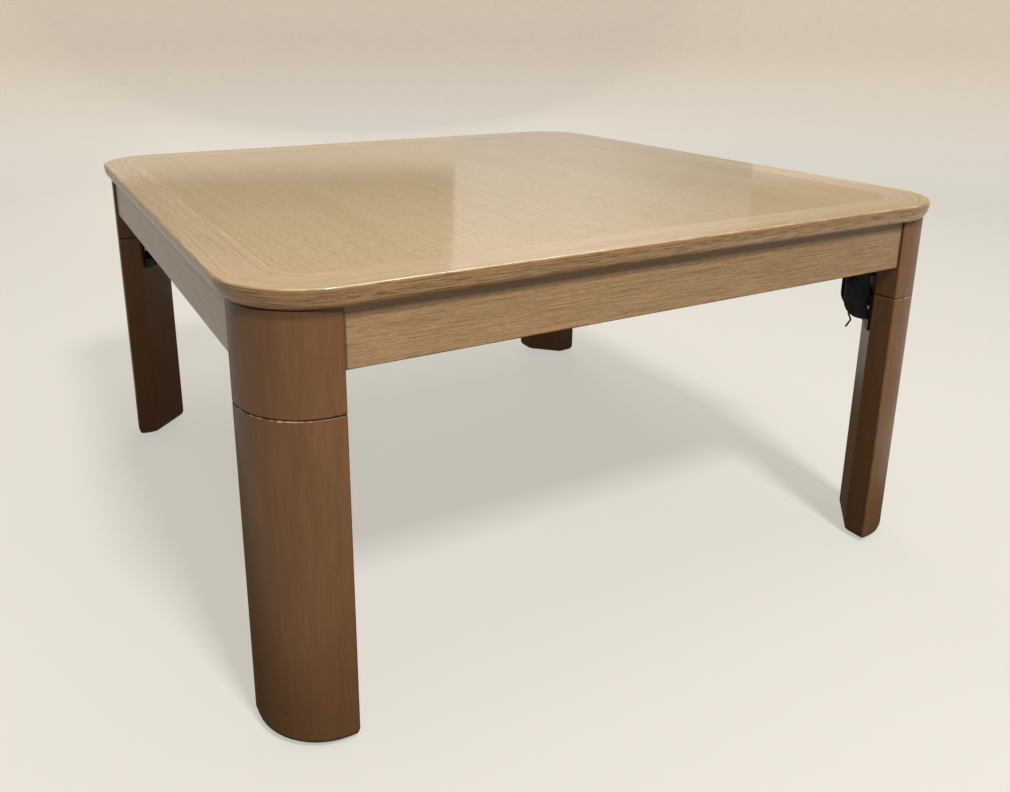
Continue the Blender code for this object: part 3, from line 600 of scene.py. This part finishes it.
def filleted(corners, radius):
    """A line through corners, each turned on an arc."""
    points = [corners[0]]
    for before, corner, after in zip(corners, corners[1:], corners[2:]):
        back = (before - corner).normalized()
        ahead = (after - corner).normalized()
        reach = radius / math.tan(back.angle(ahead) / 2)
        for step in range(FILLET_STEPS + 1):
            share = step / FILLET_STEPS
            points.append(corner + back * reach * (1 - share) ** 2 + ahead * reach * share ** 2)
    return points + [corners[-1]]


def wire_mesh(points):
    curve = bpy.data.curves.new("wire", "CURVE")
    curve.dimensions = "3D"
    curve.bevel_depth = WIRE_RADIUS
    curve.bevel_resolution = WIRE_ROUNDNESS
    curve.use_fill_caps = True
    line = curve.splines.new("POLY")
    line.points.add(len(points) - 1)
    for target, point in zip(line.points, points):
        target.co = (*point, 1)
    item = bpy.data.objects.new("wire", curve)
    bpy.context.scene.collection.objects.link(item)
    mesh = evaluated_mesh(item)
    bpy.data.objects.remove(item)
    shape = bmesh.new()
    shape.from_mesh(mesh)
    bmesh.ops.remove_doubles(shape, verts=shape.verts, dist=WELD)
    shape.to_mesh(mesh)
    shape.free()
    smooth(mesh)
    return mesh


# Top

def ring_stations(half):
    """Places round the rim from the middle of the back, and the length of the whole round.

    Each place is a centre, the way outward and the run so far.
    """
    reach = half - RIM_WIDTH - FIELD_RADIUS
    stations = []
    run = 0.0
    first = SIDES.index("back")
    last = first + len(SIDES)
    for side in range(first, last + 1):
        out = Vector((math.sin(side * QUARTER), -math.cos(side * QUARTER)))
        ahead = Vector((-out.y, out.x))
        start = 0 if side == first else -reach
        end = 0 if side == last else reach
        for step in range(SIDE_STEPS):
            gone = (end - start) * step / SIDE_STEPS
            stations.append((out * reach + ahead * (start + gone), out, run + gone))
        run += end - start
        if side == last:
            break
        for step in range(CORNER_STEPS):
            turn = QUARTER * step / CORNER_STEPS
            out_now = out * math.cos(turn) + ahead * math.sin(turn)
            stations.append(((out + ahead) * reach, out_now, run + turn * RING_MIDDLE))
        run += QUARTER * RING_MIDDLE
    return stations, run


def rim_section(low, high):
    """Points (outward, height, mark) of the rim's section, from its inner foot."""
    section = [(0, low, "")]
    fall = high - RIM_ARRIS - low
    for step in range(EDGE_STEPS):
        turn = QUARTER * (1 - step / EDGE_STEPS)
        out = RIM_WIDTH - RIM_UNDERCUT * (1 - math.cos(turn))
        section.append((out, low + fall * (1 - math.sin(turn)), "side"))
    for step in range(ARRIS_STEPS + 1):
        turn = QUARTER * step / ARRIS_STEPS
        out = RIM_WIDTH - RIM_ARRIS * (1 - math.cos(turn))
        section.append((out, high - RIM_ARRIS * (1 - math.sin(turn)), "edge"))
    section.append((0, high, ""))
    return section


def rim_mesh(half, low, high):
    """The rim, with a UV map in metres: along the rim, and across its section."""
    stations, whole = ring_stations(half)
    section = rim_section(low, high)
    girth = [0.0]
    for (x0, z0, _), (x1, z1, _) in zip(section, section[1:]):
        girth.append(girth[-1] + math.hypot(x1 - x0, z1 - z0))
    shape = bmesh.new()
    marks = {name: shape.loops.layers.float_color.new(name) for name in ("edge", "side")}
    grain = shape.loops.layers.uv.new("grain")
    rings = []
    for centre, out, _ in stations:
        rings.append([shape.verts.new((*(centre + out * (FIELD_RADIUS + x)), z))
                      for x, z, _ in section])
    for index in range(len(rings)):
        start = stations[index - 1][2]
        end = stations[index][2] or whole
        for step in range(len(section)):
            after = (step + 1) % len(section)
            corners = ((index - 1, step, start), (index, step, end),
                       (index, after, end), (index - 1, after, start))
            face = shape.faces.new([rings[ring][point] for ring, point, _ in corners])
            for loop, (_, point, gone) in zip(face.loops, corners):
                loop[grain].uv = (gone, girth[point])
                for name, mark in marks.items():
                    loop[mark] = WHITE if section[step][2] == name and section[after][2] else BLACK
    mesh = mesh_of(shape, "rim")
    smooth(mesh)
    return mesh


def dress_top(finishes):
    low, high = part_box("top_rim")
    half = high.x
    keep_flat(new_piece("oak_rim", rim_mesh(half, low.z, high.z), [finishes["rim_oak"]],
                        "table_frame", ["top_rim"]))
    stations, _ = ring_stations(half)
    outline = [centre + out * (FIELD_RADIUS - FIELD_GAP) for centre, out, _ in stations]
    field = prism(outline, low.z, high.z)
    for face in field.polygons:
        face.material_index = int(face.normal.z < DOWNWARD)
    new_piece("oak_field", field, [finishes["top_oak"], finishes["backing"]],
              "table_frame", ["top_panel"])


# Frame and corners

def corner_frame(corner):
    """Placing of a corner's pivot: X inward, Y along the pin, Z up."""
    joint = joint_of["leg_fold_" + corner]
    across = -Vector(joint["axis"]).normalized()
    turn = Matrix((across.cross(UP), across, UP)).transposed()
    return Matrix.Translation(Vector(joint["pos_m"])) @ turn.to_4x4()


def box_in(node, place):
    """Lowest and highest corner of a solid, seen from a placing."""
    points = [place.inverted() @ vertex.co for vertex in frame["nodes"][node].data.vertices]
    low = Vector([min(point[axis] for point in points) for axis in range(3)])
    high = Vector([max(point[axis] for point in points) for axis in range(3)])
    return low, high


def dress_sides(finishes, screw):
    for index, side in enumerate(SIDES):
        axis = "XY"[index % 2]
        softened("apron_" + side, finishes["apron_oak_" + axis], WOOD_EASE)
        softened("cleat_" + side, finishes["inner_wood_" + axis], WOOD_EASE)
        low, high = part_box("cleat_" + side)
        middle = (low + high) / 2
        length = (high - low)[index % 2]
        for number in range(CLEAT_SCREWS):
            spot = Vector((middle.x, middle.y, low.z))
            spot[index % 2] += length * ((number + 0.5) / CLEAT_SCREWS - 0.5)
            place = Matrix.Translation(spot) @ Matrix.Rotation(math.pi, 4, "X")
            new_piece(f"cleat_screw_{side}_{number + 1}", screw, [finishes["zinc_steel"]],
                      "table_frame", place=place)


def wire_lines(pin):
    """Lines of a wire catch from its pivot: finger, arms and crossbar, then coil and tail."""
    arm = pin.x + COIL_RADIUS
    corners = [Vector((arm + reach, WIRE_SIDE, pin.z - drop)) for reach, drop in FINGER_POINTS]
    corners += [Vector((BAR_REACH, WIRE_SIDE, 0)), Vector((BAR_REACH, -WIRE_SIDE, 0)),
                Vector((arm, -WIRE_SIDE, pin.z))]
    sweep = math.tau * WIRE_TURNS + QUARTER - WIRE_TAIL
    steps = math.ceil(CURL_STEPS * sweep / math.tau)
    coil = []
    for step in range(steps + 1):
        turn = sweep * step / steps
        coil.append(Vector((pin.x + COIL_RADIUS * math.cos(turn),
                            WIRE_PITCH * turn / math.tau - WIRE_SIDE,
                            pin.z - COIL_RADIUS * math.sin(turn))))
    heading = Vector((-math.cos(WIRE_TAIL), 0, -math.sin(WIRE_TAIL)))
    coil.append(coil[-1] + heading * (coil[-1].x - TAIL_REST) / math.cos(WIRE_TAIL))
    return filleted(corners, BAR_BEND), coil


def dress_catch(corner, finishes):
    """A wire catch: the arms turn with the catch, and the coil between it and the leg stays fixed."""
    place = corner_frame(corner)
    node = "wire_catch_" + corner
    catch = "catch_" + corner
    pin = place.inverted() @ Vector(joint_of["catch_press_" + corner]["pos_m"])
    arms, coil = wire_lines(pin)
    wire = [finishes["spring_wire"]]
    new_piece("catch_arms_" + corner, wire_mesh(arms), wire, catch, [node], place)
    winding = new_piece("catch_coil_" + corner, wire_mesh(coil), wire,
                        replaced=[node], place=place)
    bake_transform(winding)


def dress_corner(corner, finishes, screw):
    place = corner_frame(corner)
    zinc = [finishes["zinc_steel"]]
    for name, finish, ease in CORNER_PIECES:
        softened(name + corner, finishes[finish], ease)
    for name in ("pivot_pin_", "catch_pin_"):
        node = name + corner
        low, high = box_in(node, place)
        mesh = rivet_mesh((high.x - low.x) / 2, (high.y - low.y) / 2)
        new_piece("look_" + node, mesh, [finishes["black_steel"]],
                  body_of[node], [node], place @ Matrix.Translation((low + high) / 2))
    for name in ("base_screw_", "leg_screw_"):
        for number in (1, 2):
            node = f"{name}{corner}_{number}"
            low, high = box_in(node, place)
            seat = Vector((high.x - SCREW_HEAD, (low.y + high.y) / 2, (low.z + high.z) / 2))
            new_piece("look_" + node, screw, zinc, body_of[node], [node],
                      place @ Matrix.Translation(seat) @ Matrix.Rotation(QUARTER, 4, "Y"))
    flange = box_in("bracket_base_" + corner, place)[1].z - PLATE
    seat = Vector((FLANGE_SCREW_REACH, 0, flange))
    new_piece("flange_screw_" + corner, screw, zinc, "table_frame",
              place=place @ Matrix.Translation(seat) @ Matrix.Rotation(math.pi, 4, "X"))
    dress_catch(corner, finishes)


# Studio

def aimed(item, place, target):
    item.location = place
    item.rotation_euler = (Vector(target) - Vector(place)).to_track_quat("-Z", "Y").to_euler()


def add_camera():
    camera = bpy.data.cameras.new("photo camera")
    width, height = IMAGE_SIZE
    camera.sensor_fit = "HORIZONTAL"
    camera.sensor_width = SENSOR_MM
    camera.lens = SENSOR_MM * FOCAL_PIXELS / width
    camera.shift_x = (width / 2 - PRINCIPAL_POINT[0]) / width
    camera.shift_y = (PRINCIPAL_POINT[1] - height / 2) / width
    camera.clip_start = NEAREST
    item = bpy.data.objects.new("photo camera", camera)
    bpy.context.scene.collection.objects.link(item)
    turn = Euler((QUARTER + CAMERA_PITCH, 0, CAMERA_YAW - QUARTER)).to_matrix()
    roll = Matrix.Rotation(CAMERA_ROLL, 3, "Z")
    item.matrix_world = Matrix.LocRotScale(CAMERA_PLACE, turn @ roll, None)
    bpy.context.scene.camera = item


def room_paint():
    """Pale floor and wall that glow a little, so that the shadows on them stay soft."""
    paint = Finish("room", roughness=0.9, specular_ior_level=0.2, emission_color=GLOW_COLOUR)
    height = paint.add("SeparateXYZ", {0: paint.place}).outputs["Z"]
    above = paint.span(height, DADO_HEIGHT, DADO_HEIGHT + DADO_BLUR)
    colour = paint.mixed(paint.span(height, 0.0, ROOM_SWEEP), FLOOR_COLOUR, WALL_COLOUR)
    colour = paint.mixed(above, colour, UPPER_WALL_COLOUR)
    flecks = paint.noise(paint.place, (35, 35, 35), 4)
    glow = paint.span(height, 0.0, ROOM_SWEEP, GLOW_STRENGTH, WALL_GLOW)
    paint.set(base_color=paint.mixed(paint.span(flecks, 0.3, 0.7, 0.0, 0.05), colour, FLECK_COLOUR),
              emission_strength=paint.maths("MULTIPLY", glow, paint.maths("SUBTRACT", 1.0, above)))
    return paint.material


def add_room():
    """A round floor and the wall that it sweeps up into.

    The floor under the table is a disc of its own, which the table doesn't mirror.
    """
    floor = ROOM_RADIUS - ROOM_SWEEP
    wall = []
    for step in range(SWEEP_STEPS + 1):
        turn = QUARTER * step / SWEEP_STEPS
        wall.append((floor + ROOM_SWEEP * math.sin(turn), ROOM_SWEEP * (1 - math.cos(turn))))
    wall.append((ROOM_RADIUS, ROOM_HEIGHT))
    parts = {"shaded floor": [(SHADE_RADIUS, 0)], "floor": [(SHADE_RADIUS, 0), (floor, 0)],
             "wall": wall}
    paint = room_paint()
    for name, circles in parts.items():
        shape = bmesh.new()
        rings = [circle(shape, radius, height, ROOM_SIDES) for radius, height in circles]
        if len(rings) == 1:
            shape.faces.new(rings[0])
        for lower, upper in zip(rings, rings[1:]):
            for index in range(ROOM_SIDES):
                shape.faces.new((lower[index], lower[index - 1], upper[index - 1], upper[index]))
        mesh = bpy.data.meshes.new(name)
        shape.to_mesh(mesh)
        shape.free()
        smooth(mesh)
        mesh.materials.append(paint)
        item = bpy.data.objects.new(name, mesh)
        item.visible_diffuse = False
        item.visible_glossy = name != "shaded floor"
        bpy.context.scene.collection.objects.link(item)


def add_light(name, place, target, size, power, colour, mirrored=True, matte=True):
    """A soft light. mirrored and matte say whether it shows in gloss and lights matte colour."""
    light = bpy.data.lights.new(name, "AREA")
    light.shape = "RECTANGLE"
    light.size, light.size_y = size
    light.energy = power
    light.color = colour[:3]
    item = bpy.data.objects.new(name, light)
    item.visible_camera = False
    item.visible_glossy = mirrored
    item.visible_diffuse = matte
    bpy.context.scene.collection.objects.link(item)
    aimed(item, place, target)


def add_window():
    """A window that only the table's gloss sees. It dims to one side and hides the wall behind."""
    width, height = WINDOW_SIZE
    glass = Finish("window", base_color=BLACK, roughness=1.0, specular_ior_level=0.0,
                   emission_color=WINDOW_COLOUR)
    across = glass.add("SeparateXYZ", {0: glass.place}).outputs["X"]
    glass.set(emission_strength=glass.span(across, -width / 2, width * WINDOW_FADE,
                                           WINDOW_GLOW * WINDOW_DIM, WINDOW_GLOW))
    mesh = bpy.data.meshes.new("window")
    corners = [(x * width / 2, y * height / 2, 0) for x, y in ((-1, -1), (1, -1), (1, 1), (-1, 1))]
    mesh.from_pydata(corners, [], [(0, 1, 2, 3)])
    mesh.materials.append(glass.material)
    item = bpy.data.objects.new("window board", mesh)
    bpy.context.scene.collection.objects.link(item)
    aimed(item, WINDOW_PLACE, WINDOW_TARGET)
    item.visible_camera = False
    item.visible_diffuse = False
    item.visible_shadow = False


def add_lights():
    """A high key, a soft ceiling, the window, weak fills and a glint along the front arris."""
    add_light("key", place=(-0.1, -2.36, 2.95), target=(0, 0, 0.2), size=(0.5, 0.5),
              power=120, colour=srgb(255, 253, 252))
    add_light("ceiling", place=(0, 0.2, 2.9), target=(0, 0.2, 0), size=(2.2, 2.2),
              power=30, colour=srgb(255, 253, 250))
    add_light("window", WINDOW_PLACE, WINDOW_TARGET, WINDOW_SIZE,
              power=1.1, colour=WINDOW_COLOUR, mirrored=False)
    add_light("glint", place=(1.2, -0.4, 2.9), target=(0, -0.4, 0.4), size=(0.6, 1.0),
              power=80, colour=srgb(255, 253, 250), matte=False)
    add_light("left fill", place=(-2.2, -0.2, 0.8), target=(0, 0, 0.2), size=(1.2, 1.0),
              power=1.0, colour=srgb(236, 240, 255), mirrored=False)
    add_light("front fill", place=(-0.6, -2.6, 0.75), target=(0, 0, 0.25), size=(1.5, 1.0),
              power=6, colour=srgb(255, 238, 214), mirrored=False)
    add_light("back fill", place=(0.9, 2.5, 0.9), target=(0, 0, 0.25), size=(1.5, 1.0),
              power=20, colour=srgb(255, 246, 232), mirrored=False)


def add_world():
    world = bpy.data.worlds.new("studio")
    world.use_nodes = True
    background = world.node_tree.nodes["Background"]
    background.inputs["Color"].default_value = WORLD_COLOUR
    background.inputs["Strength"].default_value = WORLD_STRENGTH
    bpy.context.scene.world = world


def dress():
    zinc = bare_steel("zinc_steel", srgb(196, 194, 186), srgb(150, 148, 140), 0.28)
    wire = bare_steel("spring_wire", srgb(70, 69, 67), srgb(44, 43, 42), 0.34)
    finishes = {"top_oak": top_oak(), "rim_oak": rim_oak(), "backing": backing(),
                "leg_wood": leg_wood(), "black_steel": black_steel(), "felt": felt(),
                "zinc_steel": zinc, "spring_wire": wire}
    for axis in "XY":
        finishes["apron_oak_" + axis] = apron_oak(axis)
        finishes["inner_wood_" + axis] = inner_wood(axis)
    screw = screw_mesh(SCREW_RADIUS, SCREW_HEAD, SCREW_LENGTH)
    dress_top(finishes)
    dress_sides(finishes, screw)
    for corner in CORNERS:
        dress_corner(corner, finishes, screw)


dress()
add_camera()
add_room()
add_window()
add_lights()
add_world()
bpy.context.scene.view_settings.view_transform = "Standard"
